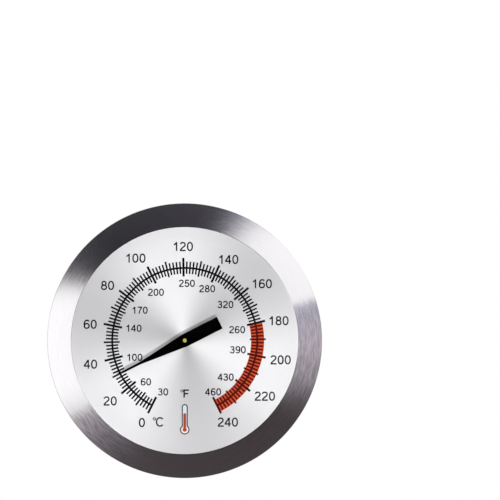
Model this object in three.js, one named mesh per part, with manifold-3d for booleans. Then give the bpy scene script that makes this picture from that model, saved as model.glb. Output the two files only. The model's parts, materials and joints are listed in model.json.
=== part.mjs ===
// Oven thermometer: a bimetal dial thermometer that clamps through a hole in an oven door or hood.
// Millimetres, +Z up. The stem lies on the Y axis: the dial faces -Y, the probe points to +Y.
// The origin is on the stem's axis, in the plane where the hex flange seats on the oven's wall.
import * as THREE from "three";
import { mergeVertices } from "three/addons/utils/BufferGeometryUtils.js";
import Module from "manifold-3d";

const wasm = await Module();
wasm.setup();

// ---- driving dimensions -------------------------------------------------------------------
const HEAD_R = 38; // bezel, outside: a 76 mm (3 in) head
const WINDOW_R = 31.2; // visible dial
const SHEET = 0.8; // wall of the drawn steel parts
const GAP = 0.1; // air between pieces that touch
const HEX_H = 4.5; // stem's hex flange, along Y
const HEX_AF = 19; // and across flats
const THREAD_R = 5; // M10 x 1.5 clamp thread
const THREAD_PITCH = 1.5;
const THREAD_DEPTH = 0.92;
const THREAD_END = 22; // thread's rear end
const PROBE_R = 3; // 6 mm probe tube
const PROBE_WALL = 0.4;
const PROBE_END = 64; // tube's rear end, where the tip plug is welded on
const SPINDLE_R = 0.5;
const RUNNING_GAP = 0.1; // radial, spindle in its bushes
const GRIP = 6; // oven wall that the nut is set for
const POINTER_ANGLE = -117; // degrees from the 12 o'clock line, clockwise seen from the front

// ---- axial stack, from the hex flange forward to the bezel ----------------------------------
const CASE_BACK = -HEX_H - GAP; // rear face of the case's floor
const CASE_FLOOR = CASE_BACK - SHEET; // inner face of the floor
const CASE_R = 33; // case body, outside
const RIM_R = 36.6; // case rim, outside
const SHOULDER = -12.9; // rear face of the case's shoulder
const DIAL_SEAT = SHOULDER - SHEET; // front face of the shoulder
const DIAL_T = 0.5;
const SPACER_T = 3.3;
const LENS_T = 2;
const GASKET_T = 0.6;
const STACK_R = RIM_R - SHEET - 0.2; // dial, spacer and lens fit the rim with play
const DIAL_REAR = DIAL_SEAT - GAP;
const DIAL_FRONT = DIAL_REAR - DIAL_T;
const SPACER_REAR = DIAL_FRONT - GAP;
const LENS_REAR = SPACER_REAR - SPACER_T - GAP;
const GASKET_REAR = LENS_REAR - LENS_T - GAP;
const LIP_BACK = GASKET_REAR - GASKET_T - GAP;
const NOSE = LIP_BACK - 2.2; // front-most edge of the bezel
const BEZEL_DROP = 3.05; // how far the bezel's cone falls away to the outer edge
const LIP_UNDERCUT = 0.35; // the bezel's lip widens by this much toward the glass
const NECK_R = 6; // stem's neck, inside the case
const NECK_END = CASE_FLOOR - 4.4;

// ---- shape helpers ---------------------------------------------------------------------------
const FINE = 56; // facets round the head
const MEDIUM = 32; // round the stem's fittings
const COARSE = 24; // round the threaded bush and the tip
const SMALL = 18; // round the spindle's pieces

const points = (list) => list.map(([r, y]) => new THREE.Vector2(r, y));

// A ring about Y. The section is [radius, y] corners and is closed here; its order may be either way.
function ring(section, facets) {
  const signedArea = section.reduce((sum, [r, y], i) => {
    const [r2, y2] = section[(i + 1) % section.length];
    return sum + r * y2 - r2 * y;
  }, 0);
  const outline = signedArea > 0 ? section : [...section].reverse();
  return new THREE.LatheGeometry(points([...outline, outline[0]]), facets);
}

// A plain washer or tube: a rectangle turned about Y.
const washer = (inner, outer, front, rear, facets) =>
  ring([[inner, front], [outer, front], [outer, rear], [inner, rear]], facets);

// A solid turned about Y, whose section starts and ends on the axis, from front to rear.
const turned = (section, facets) => new THREE.LatheGeometry(points(section), facets);

// A section of [dr, dy] corners carried about Y. place(t) gives [angle, radius, y] for t from 0 to 1.
// An open sweep gets flat ends, and a closed one joins its last step to its first.
function sweep(section, steps, place, closed = false) {
  const rings = closed ? steps : steps + 1;
  const sides = section.length;
  const position = [];
  for (let i = 0; i < rings; i++) {
    const [angle, radius, y] = place(i / steps);
    for (const [dr, dy] of section) {
      position.push((radius + dr) * Math.sin(angle), y + dy, (radius + dr) * Math.cos(angle));
    }
  }
  const index = [];
  for (let i = 0; i < steps; i++) {
    const here = i * sides;
    const next = ((i + 1) % rings) * sides;
    for (let k = 0; k < sides; k++) {
      const l = (k + 1) % sides;
      index.push(here + k, next + l, next + k, here + k, here + l, next + l);
    }
  }
  if (!closed) {
    const last = steps * sides;
    for (let k = 1; k < sides - 1; k++) {
      index.push(0, k + 1, k, last, last + k, last + k + 1);
    }
  }
  const geometry = new THREE.BufferGeometry();
  geometry.setAttribute("position", new THREE.Float32BufferAttribute(position, 3));
  geometry.setIndex(index);
  return geometry;
}

// A section's corners in the order that makes sweep() face outwards.
const rectangle = (width, height) => [
  [-width / 2, -height / 2],
  [-width / 2, height / 2],
  [width / 2, height / 2],
  [width / 2, -height / 2],
];

// A regular prism about Y, flats facing +Z and -Z, with its corners turned down to a chamfer cone.
function hexPrism(acrossFlats, front, rear, chamfer) {
  const corner = acrossFlats / Math.sqrt(3);
  const prism = new THREE.CylinderGeometry(corner, corner, rear - front, 6);
  prism.rotateY(Math.PI / 6);
  prism.translate(0, (front + rear) / 2, 0);
  const flat = acrossFlats / 2;
  const cone = turned(
    [
      [0, front - 1],
      [flat + chamfer, front - 1],
      [flat + chamfer, front],
      [corner + GAP, front + chamfer],
      [corner + GAP, rear - chamfer],
      [flat + chamfer, rear],
      [flat + chamfer, rear + 1],
      [0, rear + 1],
    ],
    MEDIUM,
  );
  return solid(prism).intersect(solid(cone));
}

// ---- booleans ----------------------------------------------------------------------------------
function solid(geometry) {
  const bare = new THREE.BufferGeometry();
  bare.setAttribute("position", geometry.getAttribute("position"));
  if (geometry.index) bare.setIndex(geometry.index);
  const merged = mergeVertices(bare, 1e-4);
  return new wasm.Manifold(
    new wasm.Mesh({
      numProp: 3,
      vertProperties: merged.getAttribute("position").array,
      triVerts: new Uint32Array(merged.index.array),
    }),
  );
}

function geometryOf(manifold) {
  const mesh = manifold.getMesh();
  const geometry = new THREE.BufferGeometry();
  geometry.setAttribute("position", new THREE.Float32BufferAttribute(mesh.vertProperties, 3));
  geometry.setIndex(new THREE.BufferAttribute(mesh.triVerts, 1));
  geometry.computeVertexNormals();
  return geometry;
}

// ---- materials -----------------------------------------------------------------------------------
const material = (color, roughness, metalness, extra = {}) =>
  new THREE.MeshStandardMaterial({ color, roughness, metalness, flatShading: true, ...extra });

const brushedSteel = material(0xc4c4c8, 0.32, 1);
const drawnSteel = material(0xb8b9bb, 0.4, 1);
const machinedSteel = material(0xaeb0b3, 0.3, 1);
const brass = material(0xc9b458, 0.35, 1);
const dialSilver = material(0xe2e2e6, 0.4, 0.6);
const blackPaint = material(0x050505, 0.6, 0);
const bimetal = material(0xa59a8a, 0.4, 1);
const siliconeRubber = material(0x7a2f26, 0.7, 0);
const glass = material(0xf4f8f8, 0.05, 0, { transparent: true, opacity: 0.2 });

// ---- head: bezel, lens stack and case -----------------------------------------------------------
const DIAL_KEY = { width: 2.4, depth: 1.2 }; // tab on the case's shoulder that stops the dial turning

// Conical face ring with a hemmed inner lip, a skirt, and a crimp turned in behind the case's shoulder.
function bezelRing() {
  const crimp = SHOULDER + GAP;
  const skirtInner = HEAD_R - SHEET;
  return ring(
    [
      [WINDOW_R + LIP_UNDERCUT, LIP_BACK],
      [WINDOW_R, NOSE + 0.15],
      [WINDOW_R + 0.15, NOSE],
      [HEAD_R - 0.3, NOSE + BEZEL_DROP],
      [HEAD_R, NOSE + BEZEL_DROP + 0.45],
      [HEAD_R, crimp + SHEET - 0.2],
      [HEAD_R - 0.2, crimp + SHEET],
      [CASE_R + 1.3, crimp + SHEET],
      [CASE_R + 1.3, crimp],
      [skirtInner, crimp],
      [skirtInner, NOSE + 3.7],
      [CASE_R + 1.3, LIP_BACK],
    ],
    FINE,
  );
}

function lensGasket() {
  return washer(WINDOW_R + 0.7, CASE_R + 1.1, LIP_BACK + GAP, GASKET_REAR, FINE);
}

function frontLens() {
  const front = LENS_REAR - LENS_T;
  const bevel = 0.3;
  return turned(
    [
      [0, front],
      [STACK_R - bevel, front],
      [STACK_R, front + bevel],
      [STACK_R, LENS_REAR],
      [0, LENS_REAR],
    ],
    FINE,
  );
}

// Rolled channel ring that holds the lens off the dial and leaves room for the pointer.
function spacerRing() {
  const front = SPACER_REAR - SPACER_T;
  const inner = WINDOW_R + 1.4;
  const wall = 0.6;
  return ring(
    [
      [inner, front],
      [STACK_R, front],
      [STACK_R, front + wall],
      [inner + wall, front + wall],
      [inner + wall, SPACER_REAR - wall],
      [STACK_R, SPACER_REAR - wall],
      [STACK_R, SPACER_REAR],
      [inner, SPACER_REAR],
    ],
    FINE,
  );
}

function keyBox(width, depth, front, rear) {
  const box = new THREE.BoxGeometry(width, rear - front, depth);
  box.translate(0, (front + rear) / 2, -(STACK_R - depth / 2));
  return solid(box);
}

function dialPlate() {
  const plate = solid(washer(1.5, STACK_R, DIAL_FRONT, DIAL_REAR, FINE));
  const notch = keyBox(DIAL_KEY.width + 0.6, DIAL_KEY.depth + 0.6, DIAL_FRONT - 1, DIAL_REAR + 1);
  return geometryOf(plate.subtract(notch));
}

// Deep-drawn cup: a floor with the stem's hole, a body, a shoulder that the dial sits on, and a rim.
function caseCup() {
  const bend = 3.5; // outer radius where floor and body meet
  const corner = (radius, steps) =>
    Array.from({ length: steps + 1 }, (_, i) => {
      const a = (i / steps) * (Math.PI / 2);
      return [CASE_R - bend + radius * Math.sin(a), CASE_BACK - bend + radius * Math.cos(a)];
    });
  const inner = corner(bend - SHEET, 3).reverse();
  const cup = ring(
    [
      [NECK_R + 0.2, CASE_BACK],
      ...corner(bend, 4),
      [CASE_R, SHOULDER],
      [RIM_R, SHOULDER],
      [RIM_R, NOSE + 4.0],
      [RIM_R - SHEET, NOSE + 4.0],
      [RIM_R - SHEET, DIAL_SEAT],
      [CASE_R - SHEET, DIAL_SEAT],
      ...inner,
      [NECK_R + 0.2, CASE_FLOOR],
    ],
    FINE,
  );
  const tab = keyBox(DIAL_KEY.width, DIAL_KEY.depth + 0.6, DIAL_REAR - DIAL_T / 2, DIAL_SEAT + 0.3);
  return geometryOf(solid(cup).add(tab.translate([0, 0, -0.6])));
}

// ---- stem ---------------------------------------------------------------------------------------------
const BUSH_BORE = PROBE_R + 0.1;
const SEAT_Y = 2; // where the bore narrows, and the probe tube stops
const BEARING_BORE = 2.5;

// Neck, hex flange and M10 thread in one turned piece, bored for the probe tube and the front bearing.
// A relief in the flange's rear face keeps the thread's foot clear of the oven's wall.
function threadedBush() {
  const root = THREAD_R - THREAD_DEPTH;
  const rod = turned(
    [
      [0, NECK_END],
      [NECK_R - 0.5, NECK_END],
      [NECK_R, NECK_END + 0.5],
      [NECK_R, -1],
      [root, -0.9],
      [root, THREAD_END],
      [0, THREAD_END],
    ],
    COARSE,
  );
  const turns = 12;
  const stepsPerTurn = 12;
  const first = 1.8;
  const ridge = sweep(
    [
      [-0.5, -0.66],
      [-0.5, 0.66],
      [THREAD_DEPTH, 0.14],
      [THREAD_DEPTH, -0.14],
    ],
    turns * stepsPerTurn,
    (t) => {
      const runOut = Math.min(1, t * turns * 3, (1 - t) * turns * 3);
      return [t * turns * 2 * Math.PI, root - 0.75 * (1 - runOut), first + t * turns * THREAD_PITCH];
    },
  );
  const bore = turned(
    [
      [0, NECK_END - 1],
      [BEARING_BORE, NECK_END - 1],
      [BEARING_BORE, -5],
      [1.8, -5],
      [1.8, SEAT_Y],
      [BUSH_BORE, SEAT_Y],
      [BUSH_BORE, THREAD_END + 1],
      [0, THREAD_END + 1],
    ],
    COARSE,
  );
  const relief = turned([[0, -0.5], [THREAD_R + 0.4, -0.5], [THREAD_R + 0.4, 1], [0, 1]], COARSE);
  const flange = hexPrism(HEX_AF, -HEX_H, 0, 0.7).subtract(solid(relief));
  const body = flange.add(solid(rod)).add(solid(ridge));
  return geometryOf(body.subtract(solid(bore)));
}

function frontBearing() {
  const bore = SPINDLE_R + RUNNING_GAP;
  return washer(bore, BEARING_BORE - GAP, NECK_END + 0.2, -5.2, SMALL);
}

function stemGuide() {
  const bore = SPINDLE_R + RUNNING_GAP;
  return washer(bore, PROBE_R - PROBE_WALL - GAP, 29, 31.5, SMALL);
}

function probeTube() {
  return washer(PROBE_R - PROBE_WALL, PROBE_R, SEAT_Y + GAP, PROBE_END, MEDIUM);
}

const COIL_R = 1.92; // middle of the bimetal strip
const COIL_START = 36;
const COIL_END = 59.4;
const NOSE_R = 1.65; // the ends of the coil wrap on noses of this radius
const COLLAR_FRONT = 33.4;
const PLUG_NOSE = 57.6;

// Welded tip: the nose anchors the coil's rear end, the shank fits the tube, the dome closes it.
function tipPlug() {
  const dome = Array.from({ length: 7 }, (_, i) => {
    const a = (i / 6) * (Math.PI / 2);
    return [PROBE_R * Math.cos(a), PROBE_END + GAP + 0.6 + (PROBE_R - 0.4) * Math.sin(a)];
  });
  dome[6][0] = 0;
  return turned(
    [
      [0, PLUG_NOSE],
      [NOSE_R, PLUG_NOSE],
      [NOSE_R, 60.4],
      [PROBE_R - PROBE_WALL - GAP, 60.4],
      [PROBE_R - PROBE_WALL - GAP, PROBE_END + GAP],
      [PROBE_R, PROBE_END + GAP],
      ...dome,
    ],
    COARSE,
  );
}

// Strip wound into a helix: its rear end stays with the plug, and its front end turns the spindle.
function bimetalCoil() {
  const turns = 13;
  return sweep(rectangle(0.24, 1.1), turns * 12, (t) => [
    t * turns * 2 * Math.PI,
    COIL_R,
    COIL_START + t * (COIL_END - COIL_START),
  ]);
}

// ---- calibration clutch: holds the case to the stem, and lets it be turned against friction ------
const CLUTCH_IN = NECK_R + 0.3;

function frictionWasher() {
  return washer(CLUTCH_IN, 9.4, CASE_FLOOR - 0.5, CASE_FLOOR - GAP, MEDIUM);
}

function waveWasher() {
  const middle = CASE_FLOOR - 1.1;
  const waves = 3;
  const thickness = 0.3;
  return sweep(
    rectangle(2.4, thickness),
    MEDIUM,
    (t) => [t * 2 * Math.PI, CLUTCH_IN + 1.2, middle + 0.3 * Math.cos(waves * t * 2 * Math.PI)],
    true,
  );
}

function retainingNut() {
  const rear = CASE_FLOOR - 1.65;
  const bore = turned(
    [
      [0, NECK_END - 1],
      [CLUTCH_IN, NECK_END - 1],
      [CLUTCH_IN, 0],
      [0, 0],
    ],
    MEDIUM,
  );
  return geometryOf(hexPrism(16, rear - 2.2, rear, 0.5).subtract(solid(bore)));
}

// ---- pointer and spindle ----------------------------------------------------------------------------
const BLADE_T = 0.4;
const BLADE_REAR = DIAL_FRONT - 1.6;
const BLADE_FRONT = BLADE_REAR - BLADE_T;
const TIP = 21; // pivot to tip
const TAIL = 10.9; // pivot to the square tail end
const HALF_W = 1.8; // half width of the tail
const NECK_AT = 13.8; // where the taper ends and the needle starts
const HUB_R = 0.64;
const HUB_FLANGE_R = 1.4;
const PIN_R = 0.2; // turned-down front end of the spindle

// Broad square tail, a straight taper and a thin needle, cut from sheet. The tip points to +Z here.
function pointerBlade() {
  const outline = [
    [0.28, TIP - 0.3],
    [0.12, TIP],
  ];
  const right = [[HALF_W, -TAIL], [HALF_W, 0.2], [1.7, 0.8], [0.36, NECK_AT], ...outline];
  const left = right.map(([x, z]) => [-x, z]).reverse();
  const shape = new THREE.Shape([...right, ...left].map(([x, z]) => new THREE.Vector2(x, z)));
  const hole = new THREE.Path().absarc(0, 0, HUB_R + GAP, 0, 2 * Math.PI, true);
  shape.holes.push(hole);
  const blade = new THREE.ExtrudeGeometry(shape, { depth: BLADE_T, bevelEnabled: false, curveSegments: 5 });
  blade.rotateX(Math.PI / 2);
  blade.translate(0, BLADE_REAR, 0);
  return geometryOf(solid(blade));
}

function pointerHub() {
  const bore = PIN_R + 0.05;
  return ring(
    [
      [bore, BLADE_FRONT - 0.25],
      [HUB_R, BLADE_FRONT - 0.25],
      [HUB_R, BLADE_REAR + GAP],
      [HUB_FLANGE_R, BLADE_REAR + GAP],
      [HUB_FLANGE_R, BLADE_REAR + 0.9],
      [bore, BLADE_REAR + 0.9],
    ],
    SMALL,
  );
}

function spindle() {
  const step = BLADE_REAR + 0.9 + GAP;
  return turned(
    [
      [0, BLADE_FRONT - 0.15],
      [PIN_R, BLADE_FRONT - 0.15],
      [PIN_R, step],
      [SPINDLE_R, step],
      [SPINDLE_R, COIL_START + 4.5],
      [0, COIL_START + 4.5],
    ],
    12,
  );
}

// Collar staked on the spindle, with a flange and a nose that the coil's front end is welded to.
function coilCollar() {
  const bore = SPINDLE_R + 0.05;
  return ring(
    [
      [bore, COLLAR_FRONT],
      [2.2, COLLAR_FRONT],
      [2.2, COLLAR_FRONT + 1.2],
      [NOSE_R, COLLAR_FRONT + 1.2],
      [NOSE_R, COIL_START + 1.8],
      [bore, COIL_START + 1.8],
    ],
    SMALL,
  );
}

// ---- clamp: washers and wing nut --------------------------------------------------------------------
const WASHER_FRONT = GRIP + GAP;
const WASHER_T = 1.5;
const LOCK_FRONT = WASHER_FRONT + WASHER_T + GAP;
const LOCK_T = 1.8;
const NUT_FRONT = LOCK_FRONT + LOCK_T + 0.5 + GAP;
const NUT_BORE = THREAD_R + 0.3;

function flatWasher() {
  return washer(NUT_BORE, 12, WASHER_FRONT, WASHER_FRONT + WASHER_T, MEDIUM);
}

// Split ring whose ends are sprung apart along Y.
function lockWasher() {
  const split = 0.06; // open share of the turn
  const section = rectangle(2.6, LOCK_T);
  return sweep(section, 28, (t) => [
    Math.PI * (1 + split) + t * 2 * Math.PI * (1 - split),
    NUT_BORE + 0.1 + 1.3,
    LOCK_FRONT + LOCK_T / 2 + 0.5 * t,
  ]);
}

// Cast hub with two wings that lean back from the oven's wall.
function wingNut() {
  const hubLength = 8;
  const rear = NUT_FRONT + hubLength;
  const hub = turned(
    [
      [0, NUT_FRONT],
      [8.6, NUT_FRONT],
      [9, NUT_FRONT + 0.4],
      [8.7, NUT_FRONT + 2],
      [7.4, rear - 0.5],
      [6.9, rear],
      [0, rear],
    ],
    MEDIUM,
  );
  const outline = new THREE.Shape();
  outline.moveTo(6.2, NUT_FRONT + 0.8);
  outline.lineTo(9.2, NUT_FRONT + 1.4);
  outline.bezierCurveTo(13, NUT_FRONT + 3, 18.5, NUT_FRONT + 7.5, 19.6, NUT_FRONT + 12);
  outline.bezierCurveTo(20.1, NUT_FRONT + 15.6, 15.6, NUT_FRONT + 16.4, 13.2, NUT_FRONT + 13.6);
  outline.bezierCurveTo(11.2, NUT_FRONT + 10.6, 9.4, NUT_FRONT + 8.6, 6.2, rear - 0.8);
  const wing = new THREE.ExtrudeGeometry(outline, {
    depth: 1.6,
    bevelEnabled: true,
    bevelThickness: 0.5,
    bevelSize: 0.5,
    bevelSegments: 1,
    curveSegments: 5,
  });
  wing.translate(0, 0, -0.8);
  const other = wing.clone().rotateY(Math.PI);
  const bore = turned(
    [
      [0, NUT_FRONT - 1],
      [NUT_BORE + 1, NUT_FRONT - 1],
      [NUT_BORE, NUT_FRONT + 0.8],
      [NUT_BORE, rear - 0.8],
      [NUT_BORE + 1, rear + 1],
      [0, rear + 1],
    ],
    MEDIUM,
  );
  return geometryOf(solid(hub).add(solid(wing)).add(solid(other)).subtract(solid(bore)));
}

// ---- assembly -------------------------------------------------------------------------------------------
function named(name, geometry, look) {
  const mesh = new THREE.Mesh(geometry, look);
  mesh.name = name;
  return mesh;
}

function group(...children) {
  const made = new THREE.Group();
  made.add(...children);
  return made;
}

const head = group(
  named("bezel_ring", bezelRing(), brushedSteel),
  named("lens_gasket", lensGasket(), siliconeRubber),
  named("front_lens", frontLens(), glass),
  named("spacer_ring", spacerRing(), machinedSteel),
  named("dial_plate", dialPlate(), dialSilver),
  named("case_cup", caseCup(), drawnSteel),
);

const stem = group(
  named("threaded_bush", threadedBush(), machinedSteel),
  named("front_bearing", frontBearing(), brass),
  named("stem_guide", stemGuide(), brass),
  named("probe_tube", probeTube(), drawnSteel),
  named("tip_plug", tipPlug(), drawnSteel),
  named("bimetal_coil", bimetalCoil(), bimetal),
  named("friction_washer", frictionWasher(), brass),
  named("wave_washer", waveWasher(), machinedSteel),
  named("retaining_nut", retainingNut(), machinedSteel),
);

const blade = named("pointer_blade", pointerBlade(), blackPaint);
blade.rotation.y = THREE.MathUtils.degToRad(POINTER_ANGLE);

const pointer = group(
  blade,
  named("pointer_hub", pointerHub(), brass),
  named("spindle", spindle(), machinedSteel),
  named("coil_collar", coilCollar(), brass),
);

const clamp = group(
  named("flat_washer", flatWasher(), drawnSteel),
  named("lock_washer", lockWasher(), machinedSteel),
  named("wing_nut", wingNut(), machinedSteel),
);

const thermometer = group(head, stem, pointer, clamp);
export default thermometer;
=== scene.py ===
"""Oven thermometer: the fine surfaces, prints, materials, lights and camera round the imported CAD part.

Lengths in this script are millimetres until mesh_object() turns them into metres. The stem lies on the
Y axis, the dial faces -Y, and an angle on the dial is clockwise from 12 o'clock, seen from the front.
"""
import json
import math

import bmesh
import bpy
from mathutils import Matrix, Vector

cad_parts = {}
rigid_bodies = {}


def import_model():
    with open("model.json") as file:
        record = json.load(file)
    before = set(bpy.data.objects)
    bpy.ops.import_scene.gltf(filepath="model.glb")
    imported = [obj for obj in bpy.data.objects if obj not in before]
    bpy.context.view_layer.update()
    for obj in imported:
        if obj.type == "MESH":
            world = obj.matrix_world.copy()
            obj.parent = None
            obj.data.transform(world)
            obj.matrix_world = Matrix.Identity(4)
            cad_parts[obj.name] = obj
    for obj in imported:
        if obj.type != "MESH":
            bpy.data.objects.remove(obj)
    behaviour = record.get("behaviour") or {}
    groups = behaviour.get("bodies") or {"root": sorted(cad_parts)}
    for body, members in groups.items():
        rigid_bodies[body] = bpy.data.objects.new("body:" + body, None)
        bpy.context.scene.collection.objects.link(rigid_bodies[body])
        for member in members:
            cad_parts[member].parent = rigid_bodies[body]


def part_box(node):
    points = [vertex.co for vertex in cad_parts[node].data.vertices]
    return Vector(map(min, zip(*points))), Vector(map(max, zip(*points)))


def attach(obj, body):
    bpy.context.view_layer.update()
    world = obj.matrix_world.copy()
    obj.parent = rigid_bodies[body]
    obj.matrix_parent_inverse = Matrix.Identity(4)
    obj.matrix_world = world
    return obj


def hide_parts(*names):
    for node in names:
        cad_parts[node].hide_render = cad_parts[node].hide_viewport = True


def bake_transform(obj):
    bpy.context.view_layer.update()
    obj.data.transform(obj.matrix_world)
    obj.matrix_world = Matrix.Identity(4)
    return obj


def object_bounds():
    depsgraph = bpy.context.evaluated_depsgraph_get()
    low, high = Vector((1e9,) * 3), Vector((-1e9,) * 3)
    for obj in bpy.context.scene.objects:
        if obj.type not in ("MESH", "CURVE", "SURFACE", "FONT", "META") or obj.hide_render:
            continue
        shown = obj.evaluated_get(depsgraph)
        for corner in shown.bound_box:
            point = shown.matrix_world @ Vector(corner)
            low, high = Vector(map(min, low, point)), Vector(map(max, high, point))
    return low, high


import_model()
cad_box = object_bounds()

MM = 0.001
TAU = 2 * math.pi

# ---- sizes that the frame's boxes don't say, in mm ------------------------------------------
WINDOW_R = 31.2
SHEET = 0.8
NECK_R = 6.0
CASE_R = 33.0
HEX_AF = 19.0
THREAD_R = 5.0
THREAD_PITCH = 1.5
THREAD_DEPTH = 0.92
PROBE_R = 3.0
PROBE_WALL = 0.4
SPINDLE_R = 0.5
POINTER_ANGLE = -117.0
DIAL_HOLE_R = 1.5

# ---- dial scale ----------------------------------------------------------------------------
SCALE_START = -153.2
SCALE_END = 153.55
SCALE_TOP = 240
ARC_R = 20.18
FIRST_DECADE_STEPS = 4
DECADE_STEPS = 5
INK = 0.02  # thickness of a printed layer


def reach(node):
    """Front and rear Y and largest radius of a CAD node, in mm."""
    low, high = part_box(node)
    return low.y / MM, high.y / MM, high.z / MM


# ---- meshes --------------------------------------------------------------------------------
def mesh_object(name, mesh, sharp=32):
    """Links a mesh that was made in millimetres as an object in metres, with soft shading."""
    mesh.transform(Matrix.Scale(MM, 4))
    bm = bmesh.new()
    bm.from_mesh(mesh)
    bmesh.ops.remove_doubles(bm, verts=bm.verts, dist=1e-7)
    bmesh.ops.dissolve_degenerate(bm, edges=bm.edges, dist=1e-8)
    bmesh.ops.recalc_face_normals(bm, faces=bm.faces)
    bm.to_mesh(mesh)
    bm.free()
    for polygon in mesh.polygons:
        polygon.use_smooth = True
    mesh.set_sharp_from_angle(angle=math.radians(sharp))
    obj = bpy.data.objects.new(name, mesh)
    bpy.context.scene.collection.objects.link(obj)
    return obj


def new_mesh(name, vertices, faces):
    mesh = bpy.data.meshes.new(name)
    mesh.from_pydata([tuple(v) for v in vertices], [], faces)
    mesh.update()
    return mesh


def fillet(corners, steps=5):
    """A closed or open section from (radius, y, fillet) corners, with its round stretches as arcs.

    Each straight stretch gets a support point near both ends, which keeps its shading flat.
    """
    count = len(corners)
    section = []
    for i, (r, y, size) in enumerate(corners):
        here = Vector((r, y))
        back = Vector(corners[i - 1][:2]) - here
        ahead = Vector(corners[(i + 1) % count][:2]) - here
        if size <= 0 or back.length < 1e-6 or ahead.length < 1e-6:
            section.append(here)
            continue
        half = back.angle(ahead) / 2
        cut = min(size / math.tan(half), back.length * 0.45, ahead.length * 0.45)
        radius = cut * math.tan(half)
        back.normalize()
        ahead.normalize()
        centre = here + (back + ahead).normalized() * (radius / math.sin(half))
        first = here + back * cut - centre
        last = here + ahead * cut - centre
        turn = first.angle_signed(last)
        support = min(0.04, cut * 0.5)
        section.append(here + back * (cut + support))
        for k in range(steps + 1):
            a = -turn * k / steps
            c, s = math.cos(a), math.sin(a)
            section.append(centre + Vector((first.x * c - first.y * s, first.x * s + first.y * c)))
        section.append(here + ahead * (cut + support))
    return [(p.x, p.y) for p in section]


def lathe_mesh(name, section, facets=192, closed=True, swell=None):
    """Turns a section of (radius, y) points about Y. swell(radius, y, angle) may change a radius."""
    vertices = []
    rings = []
    for r, y in section:
        if r < 1e-6:
            rings.append([len(vertices)])
            vertices.append((0, y, 0))
            continue
        ring = []
        for i in range(facets):
            a = i / facets * TAU
            radius = swell(r, y, a) if swell else r
            ring.append(len(vertices))
            vertices.append((radius * math.sin(a), y, radius * math.cos(a)))
        rings.append(ring)
    faces = []
    pairs = list(zip(rings, rings[1:]))
    if closed:
        pairs.append((rings[-1], rings[0]))
    for one, two in pairs:
        for i in range(facets):
            j = (i + 1) % facets
            if len(one) == 1 and len(two) == 1:
                break
            if len(one) == 1:
                faces.append((one[0], two[i], two[j]))
            elif len(two) == 1:
                faces.append((one[i], two[0], one[j]))
            else:
                faces.append((one[i], two[i], two[j], one[j]))
    return new_mesh(name, vertices, faces)


def lathe(name, corners, facets=192, closed=True, steps=5, sharp=32):
    return mesh_object(name, lathe_mesh(name, fillet(corners, steps), facets, closed), sharp)


def tube(name, inner, outer, front, rear, edge=0.12, facets=128):
    corners = [(inner, front, edge), (outer, front, edge), (outer, rear, edge), (inner, rear, edge)]
    return lathe(name, corners, facets)


def sweep_mesh(name, section, steps, place, closed=False):
    """A section of (radial, y) offsets carried about Y. place(t) gives (angle, radius, y)."""
    rings = steps if closed else steps + 1
    sides = len(section)
    vertices = []
    for i in range(rings):
        angle, radius, y = place(i / steps)
        for dr, dy in section:
            vertices.append(((radius + dr) * math.sin(angle), y + dy, (radius + dr) * math.cos(angle)))
    faces = []
    for i in range(steps):
        here, there = i * sides, (i + 1) % rings * sides
        for k in range(sides):
            j = (k + 1) % sides
            faces.append((here + k, there + k, there + j, here + j))
    if not closed:
        faces.append(tuple(range(sides)))
        faces.append(tuple(reversed(range(steps * sides, steps * sides + sides))))
    return new_mesh(name, vertices, faces)


def soft_rectangle(width, height, edge, steps=3):
    w, h = width / 2, height / 2
    return fillet([(-w, -h, edge), (-w, h, edge), (w, h, edge), (w, -h, edge)], steps)


def flat_mesh(name, loops, thickness, edge=0.0):
    """A plate from closed (x, z) loops, the first outside and the others holes, centred on Y = 0."""
    curve = bpy.data.curves.new(name, "CURVE")
    curve.dimensions = "2D"
    curve.fill_mode = "BOTH"
    curve.extrude = thickness / 2 - edge
    curve.bevel_depth = edge
    curve.bevel_resolution = 2
    curve.offset = -edge
    for loop in loops:
        spline = curve.splines.new("POLY")
        spline.points.add(len(loop) - 1)
        for point, (x, z) in zip(spline.points, loop):
            point.co = (x, z, 0, 1)
        spline.use_cyclic_u = True
    mesh = evaluated_mesh(name, curve)
    mesh.transform(Matrix.Rotation(math.pi / 2, 4, "X"))
    return mesh


def evaluated_mesh(name, data):
    obj = bpy.data.objects.new(name, data)
    bpy.context.scene.collection.objects.link(obj)
    bpy.context.view_layer.update()
    depsgraph = bpy.context.evaluated_depsgraph_get()
    mesh = bpy.data.meshes.new_from_object(obj.evaluated_get(depsgraph))
    bpy.data.objects.remove(obj)
    mesh.name = name
    mesh.materials.clear()
    return mesh


def joined(name, meshes):
    """One mesh from several."""
    bm = bmesh.new()
    for mesh in meshes:
        bm.from_mesh(mesh)
        bpy.data.meshes.remove(mesh)
    mesh = bpy.data.meshes.new(name)
    bm.to_mesh(mesh)
    bm.free()
    return mesh


def modified(obj, kind, **settings):
    """Adds a modifier and applies it."""
    modifier = obj.modifiers.new(kind, kind)
    for key, value in settings.items():
        setattr(modifier, key, value)
    bpy.context.view_layer.update()
    depsgraph = bpy.context.evaluated_depsgraph_get()
    mesh = bpy.data.meshes.new_from_object(obj.evaluated_get(depsgraph))
    obj.modifiers.clear()
    obj.data = mesh
    return obj


def welded(mesh):
    """The same mesh in mm with its seams closed and its faces turned outward."""
    bm = bmesh.new()
    bm.from_mesh(mesh)
    bmesh.ops.remove_doubles(bm, verts=bm.verts, dist=1e-4)
    bmesh.ops.recalc_face_normals(bm, faces=bm.faces)
    bm.to_mesh(mesh)
    bm.free()
    return mesh


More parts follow.
